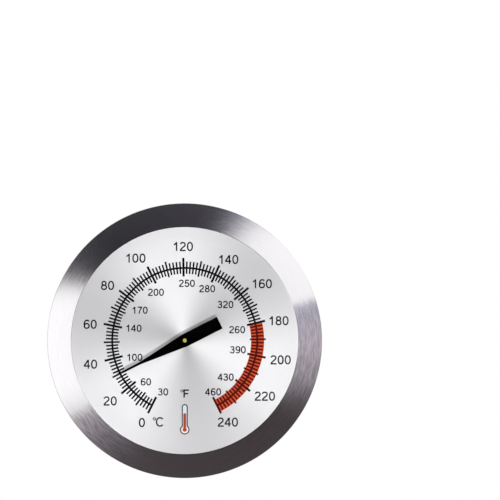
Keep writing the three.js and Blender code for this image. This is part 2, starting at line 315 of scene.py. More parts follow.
def combined(name, first, *others):
    """Booleans on closed meshes in mm: others are (operation, mesh) pairs."""
    base = bpy.data.objects.new(name, welded(first))
    bpy.context.scene.collection.objects.link(base)
    for operation, mesh in others:
        tool = bpy.data.objects.new(name + "_tool", welded(mesh))
        bpy.context.scene.collection.objects.link(tool)
        modified(base, "BOOLEAN", object=tool, operation=operation, solver="EXACT")
        bpy.data.objects.remove(tool)
    mesh = base.data
    bpy.data.objects.remove(base)
    return mesh


# ---- materials -----------------------------------------------------------------------------
class Look:
    """A node material with one Principled shader, and short ways to add nodes to it."""

    def __init__(self, name, color, roughness, metallic=0.0, **sockets):
        self.material = bpy.data.materials.new(name)
        self.material.use_nodes = True
        self.tree = self.material.node_tree
        self.shader = self.tree.nodes["Principled BSDF"]
        self.set("Base Color", (*color, 1))
        self.set("Roughness", roughness)
        self.set("Metallic", metallic)
        for key, value in sockets.items():
            self.set(key.replace("_", " "), value)

    def set(self, socket, value):
        target = self.shader.inputs[socket]
        if isinstance(value, bpy.types.NodeSocket):
            self.tree.links.new(value, target)
        else:
            target.default_value = value

    def node(self, kind, inputs=(), **properties):
        made = self.tree.nodes.new("ShaderNode" + kind)
        for key, value in properties.items():
            setattr(made, key, value)
        for key, value in dict(inputs).items():
            if isinstance(value, bpy.types.NodeSocket):
                self.tree.links.new(value, made.inputs[key])
            else:
                made.inputs[key].default_value = value
        return made

    def math(self, operation, *values):
        return self.node("Math", dict(enumerate(values)), operation=operation).outputs[0]

    def place(self):
        """Object coordinates in mm: x, y, z."""
        coordinates = self.node("TexCoord").outputs["Object"]
        scaled = self.node("VectorMath", {0: coordinates, "Scale": 1 / MM}, operation="SCALE")
        split = self.node("SeparateXYZ", {0: scaled.outputs[0]})
        return split.outputs[0], split.outputs[1], split.outputs[2], scaled.outputs[0]

    def polar(self):
        """Radius from the Y axis and Y, in mm, and the unit direction x and z."""
        x, y, z, _ = self.place()
        radius = self.math("SQRT", self.math("ADD", self.math("MULTIPLY", x, x), self.math("MULTIPLY", z, z)))
        safe = self.math("MAXIMUM", radius, 0.001)
        return radius, y, self.math("DIVIDE", x, safe), self.math("DIVIDE", z, safe)

    def noise(self, vector, scale, detail=3.0, w=None, roughness=0.55):
        inputs = {"Vector": vector, "Scale": scale, "Detail": detail, "Roughness": roughness}
        if w is not None:
            inputs["W"] = w
        dimensions = "3D" if w is None else "4D"
        return self.node("TexNoise", inputs, noise_dimensions=dimensions).outputs[0]

    def ring_noise(self, across, along, detail=4.0):
        """Noise in thin rings about Y: fine across them, long along them."""
        radius, y, cx, cz = self.polar()
        vector = self.node(
            "CombineXYZ",
            {
                0: self.math("MULTIPLY", radius, across),
                1: self.math("MULTIPLY", cx, along),
                2: self.math("MULTIPLY", cz, along),
            },
        ).outputs[0]
        return self.noise(vector, 1.0, detail, w=self.math("MULTIPLY", y, across))

    def spread(self, value, low, high, clamp=True):
        """A 0 to 1 value stretched over low to high."""
        inputs = {"Value": value, "To Min": low, "To Max": high, "From Min": 0.25, "From Max": 0.75}
        return self.node("MapRange", inputs, clamp=clamp).outputs[0]

    def tint(self, value, low, high):
        """A colour between two, by a 0 to 1 value."""
        mix = self.node("Mix", {"Factor": value}, data_type="RGBA")
        first, second = (s for s in mix.inputs if s.type == "RGBA")
        first.default_value = (*low, 1)
        second.default_value = (*high, 1)
        return next(s for s in mix.outputs if s.type == "RGBA")

    def profile(self, degrees, stops):
        """A 0 to 1 value that follows (angle, level) stops from -180 to 180 degrees."""
        place = self.math("MULTIPLY_ADD", degrees, 1 / 360, 0.5)
        ramp = self.node("ValToRGB", {0: place})
        elements = ramp.color_ramp.elements
        elements[0].position, elements[1].position = 0, 1
        for element, (_, level) in zip(elements, (stops[0], stops[-1])):
            element.color = (level, level, level, 1)
        for angle, level in stops[1:-1]:
            elements.new((angle + 180) / 360).color = (level, level, level, 1)
        return ramp.outputs[0]

    def bump(self, height, distance, strength=1.0, below=None):
        inputs = {"Height": height, "Distance": distance * MM, "Strength": strength}
        if below is not None:
            inputs["Normal"] = below
        return self.node("Bump", inputs).outputs[0]


def ring_brushed(name, color, roughness, streak, depth, anisotropy=0.9, across=9.0, sway=0.0, along=2.2):
    """Steel brushed or turned in rings about the stem's axis.

    streak darkens some rings. sway leans the rings' scratches a little to either side, so that the
    edges of what they mirror break up into streaks.
    """
    look = Look(name, color, roughness, 1.0, Anisotropic=anisotropy, Anisotropic_Rotation=0.25)
    tangent = look.node("Tangent", direction_type="RADIAL", axis="Y").outputs[0]
    look.set("Tangent", tangent)
    lines = look.ring_noise(across, along)
    fine = look.ring_noise(across * 3.1, along * 2.3, 2.0)
    dark = tuple(c * (1 - streak) for c in color)
    crisp = look.node("MapRange", {"Value": lines, "From Min": 0.4, "From Max": 0.62}).outputs[0]
    look.set("Base Color", look.tint(crisp, dark, color))
    look.set("Roughness", look.spread(fine, roughness * 0.88, roughness * 1.12))
    normal = look.bump(look.math("ADD", lines, fine), depth, 1.0)
    if sway:
        lean = look.math("MULTIPLY", look.math("SUBTRACT", look.ring_noise(across * 0.8, along * 1.7, 5.0), 0.5), sway)
        aside = look.node("VectorMath", {0: tangent, "Scale": lean}, operation="SCALE").outputs[0]
        swayed = look.node("VectorMath", {0: normal, 1: aside}, operation="ADD").outputs[0]
        normal = look.node("VectorMath", {0: swayed}, operation="NORMALIZE").outputs[0]
    look.set("Normal", normal)
    return look


def satin_metal(name, color, roughness, blotch=0.06, depth=0.002):
    """Tumbled or plated metal: a fine grain and slow clouding of the colour."""
    look = Look(name, color, roughness, 1.0)
    _, _, _, place = look.place()
    cloud = look.noise(place, 0.35, 4.0)
    grain = look.noise(place, 9.0, 3.0)
    dark = tuple(c * (1 - blotch) for c in color)
    look.set("Base Color", look.tint(look.spread(cloud, 0, 1), dark, color))
    look.set("Roughness", look.spread(grain, roughness * 0.85, roughness * 1.2))
    look.set("Normal", look.bump(grain, depth))
    return look


STEEL = (0.80, 0.785, 0.80)
case_steel = ring_brushed("case_steel", (0.62, 0.625, 0.64), 0.36, 0.10, 0.0012, anisotropy=0.6, across=4.0)
fitting_steel = ring_brushed("fitting_steel", (0.60, 0.605, 0.62), 0.30, 0.12, 0.0015, across=8.0)
zinc_steel = satin_metal("zinc_steel", (0.66, 0.67, 0.66), 0.34, 0.12, 0.004)
brass = ring_brushed("brass", (0.80, 0.78, 0.14), 0.30, 0.10, 0.0010, across=12.0)


def bezel_look():
    """Brushed steel with painted streaked shade in two stretches, at the lower left and on the right, where the walls
    it mirrors are half lit.
    """
    look = ring_brushed("bezel_steel", STEEL, 0.21, 0.03, 0.0004, 1.0, across=4.0, sway=0.032, along=12.0)
    _, _, cx, cz = look.polar()
    # painted shade: darker streaks in the colour, strongest where the mirrored walls are half lit
    painted_shade = look.profile(look.math("DEGREES", look.math("ARCTAN2", cx, cz)), PAINTED_SHADE_STRETCHES)
    lines = look.ring_noise(5.5, 12.0, 1.0)
    crisp = look.node("MapRange", {"Value": lines, "From Min": 0.4, "From Max": 0.6}).outputs[0]
    look.set("Base Color", look.tint(look.math("MULTIPLY", painted_shade, crisp), STEEL, (0.455, 0.45, 0.455)))
    return look


# how strong the bezel's painted streaked shade is, as (dial angle, 0 to 1)
PAINTED_SHADE_STRETCHES = [
    (-180, 0.12), (-160, 0.2), (-150, 0.65), (-142, 1.0), (-128, 0.9), (-122, 0.08), (-66, 0.05), (-58, 0.2),
    (-45, 0.2), (2, 0.2), (12, 0.5), (22, 0.4), (30, 0.06), (71, 0.05), (75, 0.6), (90, 0.7), (112, 0.9),
    (122, 0.3), (180, 0.12),
]
bezel_steel = bezel_look()


def probe_look():
    """Ground tube, with straw and blue heat tints either side of the weld at its tip."""
    look = ring_brushed("probe_steel", (0.66, 0.655, 0.65), 0.28, 0.08, 0.0010, across=10.0)
    _, y, _, _ = look.place()
    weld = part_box("probe_tube")[1].y / MM
    away = look.math("ABSOLUTE", look.math("SUBTRACT", y, weld))
    ramp = look.node("ValToRGB", {0: look.math("DIVIDE", away, 4.0)})
    stops = ramp.color_ramp.elements
    stops[0].position, stops[0].color = 0.0, (0.46, 0.44, 0.47, 1)
    stops[1].position, stops[1].color = 1.0, (0.66, 0.655, 0.65, 1)
    for position, color in ((0.22, (0.44, 0.42, 0.54, 1)), (0.45, (0.66, 0.55, 0.42, 1))):
        stop = stops.new(position)
        stop.color = color
    base = look.shader.inputs["Base Color"].links[0].from_socket
    mix = look.node("Mix", data_type="RGBA", blend_type="MULTIPLY")
    mix.inputs[0].default_value = 1.0
    colours = [s for s in mix.inputs if s.type == "RGBA"]
    look.tree.links.new(ramp.outputs[0], colours[0])
    look.tree.links.new(look.node("Gamma", {0: base, 1: 0.5}).outputs[0], colours[1])
    look.set("Base Color", next(s for s in mix.outputs if s.type == "RGBA"))
    return look


probe_steel = probe_look()


def dial_look():
    """Silvered sheet with fine radial brushing and a painted three-fold sunburst sheen: light and grey highlight fans
    painted into its colour, whose contrast fades and whose level rises toward the rim.
    """
    look = Look("dial_silver", (0.8, 0.8, 0.81), 0.42, 0.0, Specular_IOR_Level=0.35)
    radius, _, cx, cz = look.polar()
    angle = look.math("ARCTAN2", cx, cz)
    # painted sheen: the three-fold highlight fans of a spun dial, painted into the base colour
    wave = look.math("COSINE", look.math("MULTIPLY", look.math("ADD", angle, math.radians(12)), 3.0))
    fade = look.math("MULTIPLY_ADD", radius, -0.004, 0.5)
    painted_sheen_fan = look.math("MULTIPLY_ADD", wave, fade, look.math("MULTIPLY_ADD", radius, 0.0075, 0.5))
    vector = look.node("CombineXYZ", {0: look.math("MULTIPLY", cx, 60), 1: look.math("MULTIPLY", cz, 60)})
    spokes = look.noise(vector.outputs[0], 1.0, 3.0, w=look.math("MULTIPLY", radius, 0.08))
    shade = look.math("ADD", painted_sheen_fan, look.spread(spokes, -0.03, 0.03))
    # the base colour carries the painted sheen fans
    look.set("Base Color", look.tint(shade, (0.435, 0.43, 0.44), (0.83, 0.83, 0.845)))
    look.set("Roughness", look.spread(spokes, 0.38, 0.5))
    look.set("Normal", look.bump(spokes, 0.0008))
    return look


dial_silver = dial_look()


def ink(name, color, roughness=0.55, rub=0.15):
    """Screen-printed ink: nearly even, a little lighter where the ink is thin."""
    look = Look(name, color, roughness, 0.0, Specular_IOR_Level=0.04)
    _, _, _, place = look.place()
    grain = look.noise(place, 6.0, 4.0)
    pale = tuple(c + (0.5 - c) * rub * 0.12 for c in color)
    look.set("Base Color", look.tint(look.spread(grain, 0, 1), color, pale))
    look.set("Normal", look.bump(grain, 0.002))
    return look


black_ink = ink("black_ink", (0.004, 0.004, 0.005), rub=0.05)
grey_ink = ink("grey_ink", (0.006, 0.006, 0.008), rub=0.05)
red_ink = ink("red_ink", (0.55, 0.064, 0.0145), rub=0.25)
sign_red_ink = ink("sign_red_ink", (0.42, 0.055, 0.03))
hot_ink = ink("hot_ink", (0.075, 0.002, 0.001), rub=0.03)


def icon_pale_look():
    """The tube of the thermometer sign is a cold grey, and its bulb is cream."""
    look = ink("icon_pale_ink", (0.7, 0.74, 0.75))
    _, _, z, _ = look.place()
    ramp = look.node("ValToRGB", {0: look.node("MapRange", {"Value": z, "From Min": -25.0, "From Max": -22.5}).outputs[0]})
    stops = ramp.color_ramp.elements
    stops[0].color = (0.90, 0.77, 0.70, 1)
    stops[1].color = (0.68, 0.74, 0.76, 1)
    look.set("Base Color", ramp.outputs[0])
    return look


icon_pale_ink = icon_pale_look()


def lacquer_look():
    look = Look("pointer_black", (0.0018, 0.0018, 0.002), 0.75, 0.0, Specular_IOR_Level=0.04)
    _, _, _, place = look.place()
    grain = look.noise(place, 14.0, 3.0)
    look.set("Roughness", look.spread(grain, 0.65, 0.85))
    look.set("Normal", look.bump(grain, 0.003))
    return look


pointer_black = lacquer_look()


def rubber_look():
    look = Look("gasket_rubber", (0.42, 0.10, 0.07), 0.6)
    _, _, _, place = look.place()
    grain = look.noise(place, 4.0, 4.0)
    look.set("Base Color", look.tint(look.spread(grain, 0, 1), (0.36, 0.08, 0.055), (0.47, 0.12, 0.085)))
    look.set("Normal", look.bump(grain, 0.01))
    return look


gasket_rubber = rubber_look()
bimetal = satin_metal("bimetal", (0.55, 0.47, 0.36), 0.32, 0.2, 0.002)


def glass_look():
    """Flat clear glass with a trace of haze in its polish."""
    look = Look("lens_glass", (1.0, 1.0, 1.0), 0.0, 0.0, IOR=1.46, Transmission_Weight=1.0)
    _, _, _, place = look.place()
    haze = look.noise(place, 0.4, 2.0)
    look.set("Roughness", look.spread(haze, 0.0, 0.012))
    return look


lens_glass = glass_look()


def dress(obj, look, body, slot, *nodes):
    """Gives a piece its material and its body, and hides the CAD nodes it stands for. slot is not used."""
    obj.data.materials.clear()
    obj.data.materials.append(look.material)
    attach(obj, body)
    if nodes:
        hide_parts(*nodes)
    return obj


# ---- head ----------------------------------------------------------------------------------
def bezel():
    nose, rear, outer = reach("bezel_ring")
    lip_back = nose + 2.2
    crimp_r = CASE_R + 1.3
    inner_edge, outer_edge = Vector((WINDOW_R, nose)), Vector((outer, nose + 3.15))
    across = outer_edge - inner_edge
    bulge = Vector((across.y, -across.x)).normalized() * 0.13
    dome = [inner_edge + across * t + bulge * (4 * t * (1 - t)) for t in (i / 16 for i in range(1, 16))]
    corners = [
        (WINDOW_R + 0.35, lip_back, 0.1),
        (WINDOW_R, nose, 0.1),
        *((point.x, point.y, 0) for point in dome),
        (outer, nose + 3.15, 0.4),
        (outer, rear, 0.5),
        (crimp_r, rear, 0.2),
        (crimp_r, rear - SHEET, 0.2),
        (outer - SHEET, rear - SHEET, 0.2),
        (outer - SHEET, nose + 3.7, 0.2),
        (crimp_r, lip_back, 0.2),
    ]
    return dress(lathe("bezel", corners, 360, steps=7), bezel_steel, "head", "bezel_steel", "bezel_ring")


def gasket():
    front, rear, outer = reach("lens_gasket")
    piece = tube("gasket", WINDOW_R + 0.7, outer, front, rear, 0.2, 192)
    return dress(piece, gasket_rubber, "head", "gasket_rubber", "lens_gasket")


def lens():
    front, rear, outer = reach("front_lens")
    corners = [(0, front, 0), (outer, front, 0.35), (outer, rear, 0.2), (0, rear, 0)]
    piece = lathe("lens", corners, 192, closed=False)
    return dress(piece, lens_glass, "head", "lens_glass", "front_lens")


def spacer():
    front, rear, outer = reach("spacer_ring")
    inner = WINDOW_R + 1.4
    wall = 0.6
    corners = [
        (inner, front, 0.25),
        (outer, front, 0.1),
        (outer, front + wall, 0.1),
        (inner + wall, front + wall, 0.1),
        (inner + wall, rear - wall, 0.1),
        (outer, rear - wall, 0.1),
        (outer, rear, 0.1),
        (inner, rear, 0.25),
    ]
    return dress(lathe("spacer", corners, 192), case_steel, "head", "case_steel", "spacer_ring")


def dial():
    front, rear, _ = reach("dial_plate")
    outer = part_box("dial_plate")[1].z / MM
    plate = lathe_mesh(
        "dial",
        fillet([(DIAL_HOLE_R, front, 0.05), (outer, front, 0.06), (outer, rear, 0.06), (DIAL_HOLE_R, rear, 0.05)], 2),
        240,
    )
    low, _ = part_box("dial_plate")
    notch_depth = outer + low.z / MM + 1.8
    notch = flat_mesh(
        "dial_notch",
        [[(-1.5, -outer - 1), (1.5, -outer - 1), (1.5, -outer + notch_depth), (-1.5, -outer + notch_depth)]],
        4.0,
    )
    notch.transform(Matrix.Translation((0, front, 0)))
    piece = mesh_object("dial", combined("dial", plate, ("DIFFERENCE", notch)))
    return dress(piece, dial_silver, "head", "dial_silver", "dial_plate")


def case():
    front, rear, rim = reach("case_cup")
    shoulder = -12.9
    bore = NECK_R + 0.2
    corners = [
        (bore, rear, 0.15),
        (CASE_R, rear, 3.5),
        (CASE_R, shoulder, 0.25),
        (rim, shoulder, 0.35),
        (rim, front, 0.2),
        (rim - SHEET, front, 0.2),
        (rim - SHEET, shoulder - SHEET, 0.2),
        (CASE_R - SHEET, shoulder - SHEET, 0.5),
        (CASE_R - SHEET, rear - SHEET, 2.7),
        (bore, rear - SHEET, 0.15),
    ]
    return dress(lathe("case", corners, 256, steps=10), case_steel, "head", "case_steel", "case_cup")


# ---- dial print ----------------------------------------------------------------------------
DIAL_FRONT = reach("dial_plate")[0]


def scale_angle(celsius):
    """Where a Celsius reading stands on the dial, in degrees."""
    steps_in_all = (FIRST_DECADE_STEPS + DECADE_STEPS * (SCALE_TOP / 10 - 1))
    if celsius <= 10:
        steps = celsius / 10 * FIRST_DECADE_STEPS
    else:
        steps = FIRST_DECADE_STEPS + (celsius - 10) / 10 * DECADE_STEPS
    return SCALE_START + steps / steps_in_all * (SCALE_END - SCALE_START)


def dial_point(angle, radius):
    t = math.radians(angle)
    return radius * math.sin(t), radius * math.cos(t)


def ribbon(points, width, closed=False):
    """A flat printed line of the given width along (x, z) points, on the plane Y = 0."""
    path = [Vector(p) for p in points]
    count = len(path)
    vertices = []
    for i, here in enumerate(path):
        back = path[i - 1] if closed or i else here
        ahead = path[(i + 1) % count] if closed or i < count - 1 else here
        into = (here - back).normalized()
        out = (ahead - here).normalized()
        along = (into + out).normalized()
        bend = max(along.dot(out if out.length else into), 0.5)
        side = Vector((-along.y, along.x)) * (width / 2 / bend)
        for x, z in (here + side, here - side):
            vertices.append((x, 0, z))
            vertices.append((x, INK, z))
    faces = []
    for i in range(count if closed else count - 1):
        a, b = 4 * i, 4 * ((i + 1) % count)
        faces += [(a, b, b + 2, a + 2), (a + 1, a + 3, b + 3, b + 1), (a, a + 1, b + 1, b), (a + 2, b + 2, b + 3, a + 3)]
    if not closed:
        last = 4 * (count - 1)
        faces += [(0, 2, 3, 1), (last, last + 1, last + 3, last + 2)]
    return new_mesh("ribbon", vertices, faces)


def arc_points(first, last, radius, steps):
    return [dial_point(first + (last - first) * i / steps, radius) for i in range(steps + 1)]


def printed(name, meshes, look, layer=1, slot="pointer_black"):
    """A print of thin closed plates on the dial. Layer 2 lies over layer 1, and so on.

    Strokes that cross differ in height by a hair, so that no two faces coincide.
    """
    for i, mesh in enumerate(meshes):
        top = DIAL_FRONT - INK * layer - 0.002 * (i % 3)
        for vertex in mesh.vertices:
            vertex.co.y = top if vertex.co.y < INK / 2 else DIAL_FRONT + 0.01
    return dress(mesh_object(name, joined(name, meshes)), look, "head", slot)


def ticks():
    """Every tick of the scale as (angle, inner radius, outer radius, width)."""
    bars = []
    for decade in range(SCALE_TOP // 10 + 1):
        value = decade * 10
        if value in (0, SCALE_TOP):
            shape = (17.6, 22.65, 0.62)
        elif decade % 2 == 0:
            shape = (17.8, 23.0, 0.62)
        else:
            shape = (18.1, 22.55, 0.5)
        bars.append((scale_angle(value), *shape))
        if value == SCALE_TOP:
            break
        steps = FIRST_DECADE_STEPS if decade == 0 else DECADE_STEPS
        for step in range(1, steps):
            bars.append((scale_angle(value + 10 * step / steps), 18.55, 21.95, 0.46))
    return bars


def scale_prints():
    red_from = scale_angle(180)
    plain = [ribbon(arc_points(SCALE_START, red_from, ARC_R, 120), ARC_W)]
    hot = [ribbon(arc_points(red_from, SCALE_END, ARC_R, 60), ARC_W)]
    for angle, inner, outer, width in ticks():
        bar = ribbon([dial_point(angle, inner), dial_point(angle, outer)], width)
        (hot if angle > red_from + 0.1 else plain).append(bar)
    printed("scale_print", plain, black_ink, 2)
    printed("hot_scale_print", hot, hot_ink, 2)
    zone = ribbon(arc_points(red_from, SCALE_END, (RED_IN + RED_OUT) / 2, 60), RED_OUT - RED_IN)
    printed("red_zone_print", [zone], red_ink)


ARC_W = 0.54
RED_IN = 18.45
RED_OUT = 22.1

CELSIUS = {
    "0": (-11.9, -22.8), "20": (-20.8, -16.8), "40": (-26.3, -6.6), "60": (-26.3, 4.5), "80": (-21.5, 15.3),
    "100": (-13.7, 22.9), "120": (-0.5, 26.15), "140": (12.15, 22.55), "160": (21.5, 15.8),
    "180": (26.15, 5.5), "200": (26.6, -5.4), "220": (22.2, -15.5), "240": (11.9, -22.7),
}
FAHRENHEIT = {
    "30": (-6.05, -14.3), "60": (-10.8, -11.5), "100": (-13.95, -4.7), "140": (-14.2, 3.4), "170": (-12.5, 8.4),
    "200": (-8.1, 13.4), "250": (0.5, 15.9), "280": (6.15, 14.4), "320": (11.3, 10.0), "260": (14.5, 3.0),
    "390": (14.75, -2.6), "430": (11.3, -10.2), "460": (7.8, -14.3),
}
CELSIUS_H = 2.5
FAHRENHEIT_H = 1.95
ADVANCE = 0.79
STROKE = 0.157


def oval(x, z, rx, rz, first=0, last=360, steps=20):
    """Points round an oval a little squarer than an ellipse, from 12 o'clock clockwise in degrees."""
    def squarer(v):
        return math.copysign(abs(v) ** 0.9, v)
    turns = [math.radians(first + (last - first) * i / steps) for i in range(steps + 1)]
    points = [(x + rx * squarer(math.sin(t)), z + rz * squarer(math.cos(t))) for t in turns]
    return points[:-1] if last - first == 360 else points


def six():
    stem = oval(0.41, 0.47, 0.29, 0.47, -108, 0, 14) + oval(0.41, 0.745, 0.235, 0.195, 0, 72, 8)[1:]
    return [(oval(0.385, 0.315, 0.262, 0.255), True), (stem, False)]


def glyph(letter):
    """The strokes of a plain sans-serif letter one unit tall, as (points, closed) pairs."""
    bars = {
        "1": [[(0.46, 0), (0.46, 1)], [(0.46, 0.93), (0.33, 0.79), (0.16, 0.69)]],
        "4": [[(0.513, 0), (0.513, 1)], [(0.018, 0.296), (0.709, 0.296)], [(0.075, 0.31), (0.49, 0.95)]],
        "F": [[(0.06, 0), (0.06, 1)], [(0.06, 0.94), (0.67, 0.94)], [(0.06, 0.5), (0.58, 0.5)]],
    }
    if letter in bars:
        return [(points, False) for points in bars[letter]]
    if letter == "0":
        return [(oval(0.37, 0.5, 0.265, 0.44), True)]
    if letter == "2":
        neck = bezier((0.62, 0.70), (0.62, 0.48), (0.20, 0.36), (0.105, 0.09), 10)
        return [(oval(0.365, 0.70, 0.255, 0.24, -80, 90) + neck, False), ([(0.04, 0.06), (0.70, 0.06)], False)]
    if letter == "3":
        upper = oval(0.36, 0.735, 0.225, 0.205, -72, 180)
        lower = oval(0.365, 0.295, 0.265, 0.235, 0, 258)
        return [(upper, False), (lower, False), ([(0.27, 0.53), (0.38, 0.53)], False)]
    if letter == "5":
        bowl = oval(0.37, 0.315, 0.268, 0.255, -52, 256)
        return [(bowl, False), ([(0.17, 0.94), (0.66, 0.94)], False), ([(0.225, 0.98), (0.14, 0.44)], False)]
    if letter == "6":
        return six()
    if letter == "7":
        leg = [(0.67, 0.93)] + bezier((0.67, 0.93), (0.47, 0.70), (0.32, 0.35), (0.29, 0), 10)
        return [([(0.066, 0.94), (0.70, 0.94)], False), (leg, False)]
    if letter == "8":
        return [(oval(0.38, 0.735, 0.215, 0.205), True), (oval(0.38, 0.29, 0.262, 0.23), True)]
    if letter == "9":
        return [([(0.77 - x, 1 - z) for x, z in points], closed) for points, closed in six()]
    return [(oval(0.44, 0.5, 0.36, 0.44, 52, -232, 30), False)]


def lettering(text, x, z, height, bold=1.0):
    """Strokes of a label whose ink is height mm tall, centred on (x, z)."""
    strokes = []
    for i, letter in enumerate(text):
        for points, closed in glyph(letter):
            strokes.append(([(px + i * ADVANCE, pz) for px, pz in points], closed))
    across = [px for points, _ in strokes for px, _ in points]
    middle = (max(across) + min(across)) / 2
    width = STROKE * bold * height
    return [
        ribbon([(x + (px - middle) * height, z + (pz - 0.5) * height) for px, pz in points], width, closed)
        for points, closed in strokes
    ]


def circle(x, z, radius, steps=24):
    turns = [TAU * i / steps for i in range(steps)]
    return [(x + radius * math.sin(a), z + radius * math.cos(a)) for a in turns]


def numeral_prints():
    celsius = []
    for text, (x, z) in CELSIUS.items():
        celsius += lettering(text, x, z, CELSIUS_H)
    celsius += lettering("C", -6.97, -22.64, 2.6)
    celsius.append(ribbon(circle(-8.42, -21.79, 0.34), 0.24, True))
    printed("celsius_print", celsius, black_ink)
    fahrenheit = []
    for text, (x, z) in FAHRENHEIT.items():
        fahrenheit += lettering(text, x, z, FAHRENHEIT_H, bold=1.1)
    fahrenheit += lettering("F", 0.5, -14.78, 2.2, bold=1.2)
    fahrenheit.append(ribbon(circle(-0.8, -14.03, 0.31), 0.2, True))
    printed("fahrenheit_print", fahrenheit, grey_ink)


def sign_outline(top, half, bulb_z, bulb_r, steps=20):
    """Outline of a thermometer sign: a tube with a round top on a round bulb."""
    join = math.asin(half / bulb_r)
    cap = [math.pi * i / steps for i in range(steps + 1)]
    bulb = [-join - (TAU - 2 * join) * i / (2 * steps) for i in range(2 * steps + 1)]
    points = [(half * math.cos(a), top - half + half * math.sin(a)) for a in cap]
    return points + [(bulb_r * math.sin(a), bulb_z + bulb_r * math.cos(a)) for a in bulb]


def plate(loop):
    """A thin plate within an (x, z) loop, with the same two heights as a ribbon."""
    mesh = flat_mesh("plate", [loop], INK)
    mesh.transform(Matrix.Translation((0, INK / 2, 0)))
    return mesh


def sign_prints():
    bulb_z = -24.8
    printed("sign_pale_print", [plate(sign_outline(-17.85, 0.66, bulb_z, 1.15))], icon_pale_ink, 1, "dial_silver")
    printed("sign_outline_print", [ribbon(sign_outline(-17.85, 0.68, bulb_z, 1.18), 0.3, True)], grey_ink, 2)
    printed("sign_red_print", [plate(sign_outline(-20.2, 0.38, bulb_z, 0.56))], sign_red_ink, 2)


# ---- pointer -------------------------------------------------------------------------------
def pointer_outline():
    """The tip points to +Z: square tail, straight taper, thin needle."""
    right = [(1.8, -10.9), (1.8, 0.2), (1.7, 0.8), (0.36, 13.8), (0.28, 20.7), (0.12, 21.0)]
    return right + [(-x, z) for x, z in reversed(right)]


def pointer_blade():
    front, rear, _ = reach("pointer_blade")
    hub_hole = circle(0, 0, 0.52, 48)
    mesh = flat_mesh("pointer", [pointer_outline(), hub_hole], rear - front, 0.05)
    mesh.transform(Matrix.Translation((0, (front + rear) / 2, 0)))
    mesh.transform(Matrix.Rotation(math.radians(POINTER_ANGLE), 4, "Y"))
    return dress(mesh_object("pointer", mesh), pointer_black, "pointer", "pointer_black", "pointer_blade")


def hub():
    front, rear, outer = reach("pointer_hub")
    flange = rear - 1.0
    nose_r = 0.53
    corners = [
        (0.25, front, 0.05),
        (nose_r, front, 0.1),
        (nose_r, flange + 0.2, 0.02),
        (outer, flange + 0.2, 0.12),
        (outer, rear, 0.12),
        (0.25, rear, 0.05),
    ]
    return dress(lathe("hub", corners, 72), brass, "pointer", "brass", "pointer_hub")


def spindle():
    front, rear, _ = reach("spindle")
    front += 0.3
    step = reach("pointer_hub")[1] + 0.1
    corners = [(0, front, 0), (0.2, front, 0.06), (0.2, step, 0.02), (SPINDLE_R, step, 0.1), (SPINDLE_R, rear, 0.12),
               (0, rear, 0)]
    piece = lathe("spindle_rod", corners, 48, closed=False)
    return dress(piece, fitting_steel, "pointer", "fitting_steel", "spindle")


def collar():
    front, rear, outer = reach("coil_collar")
    bore = SPINDLE_R + 0.05
    nose = 1.65
    corners = [(bore, front, 0.08), (outer, front, 0.15), (outer, front + 1.2, 0.15), (nose, front + 1.2, 0.05),
               (nose, rear, 0.2), (bore, rear, 0.08)]
    return dress(lathe("collar", corners, 72), brass, "pointer", "brass", "coil_collar")


# ---- stem ----------------------------------------------------------------------------------
def thread_radius(y, angle, start, end):
    """Radius of the M10 thread's surface: flat crests and roots with sloping flanks between."""
    root = THREAD_R - THREAD_DEPTH
    phase = (y - start) / THREAD_PITCH - angle / TAU
    place = abs((phase + 0.5) % 1 - 0.5) * 2
    ridge = min(1.0, max(0.0, (0.86 - place) / 0.62))
    fade = min(1.0, max(0.0, y - start), max(0.0, (end - y) / 0.9))
    return root + THREAD_DEPTH * ridge * fade


def stem_bush():
    """Neck, hex flange with chamfered corners, relief and thread, bored through."""
    front, rear, _ = reach("threaded_bush")
    hex_front = -4.5
    flat = HEX_AF / 2
    corner = flat / math.cos(math.pi / 6)
    root = THREAD_R - THREAD_DEPTH
    start, end = 1.2, rear
    rows = 260
    neck = fillet([(2.5, front, 0), (NECK_R, front, 0.5), (NECK_R, hex_front, 0)], 4)
    chamfer = [(flat + 0.4 + t * (corner - flat - 0.3), 0.75 * t) for t in (i / 10 for i in range(11))]
    flange = [(r, hex_front + y) for r, y in chamfer] + [(r, -y) for r, y in reversed(chamfer)]
    relief = [(THREAD_R + 0.4, 0), (THREAD_R + 0.4, -0.5), (root, -0.5)]
    flank = [(root, start + (end - start) * i / rows) for i in range(rows + 1)]
    bore_r = PROBE_R + 0.1
    bore = [(bore_r + 0.3, rear), (bore_r, rear - 0.3), (bore_r, 2), (1.8, 2), (1.8, -5), (2.5, -5)]

    def swell(r, y, angle):
        if r > flat:
            return min(r, flat / math.cos((angle + math.pi / 6) % (math.pi / 3) - math.pi / 6))
        on_thread = abs(r - root) < 1e-6 and y >= start
        return thread_radius(y, angle, start, end) if on_thread else r

    mesh = lathe_mesh("stem_bush", neck + flange + relief + flank + bore, 144, swell=swell)
    return dress(mesh_object("stem_bush", mesh, 28), fitting_steel, "stem", "fitting_steel", "threaded_bush")


def bushes():
    front, rear, outer = reach("front_bearing")
    piece = tube("front_bush", SPINDLE_R + 0.1, outer, front, rear, 0.15, 72)
    dress(piece, brass, "stem", "brass", "front_bearing")
    front, rear, outer = reach("stem_guide")
    piece = tube("guide_bush", SPINDLE_R + 0.1, outer, front, rear, 0.15, 72)
    dress(piece, brass, "stem", "brass", "stem_guide")


def probe():
    front, rear, outer = reach("probe_tube")
    piece = tube("probe", outer - PROBE_WALL, outer, front, rear, 0.08, 128)
    return dress(piece, probe_steel, "stem", "probe_steel", "probe_tube")


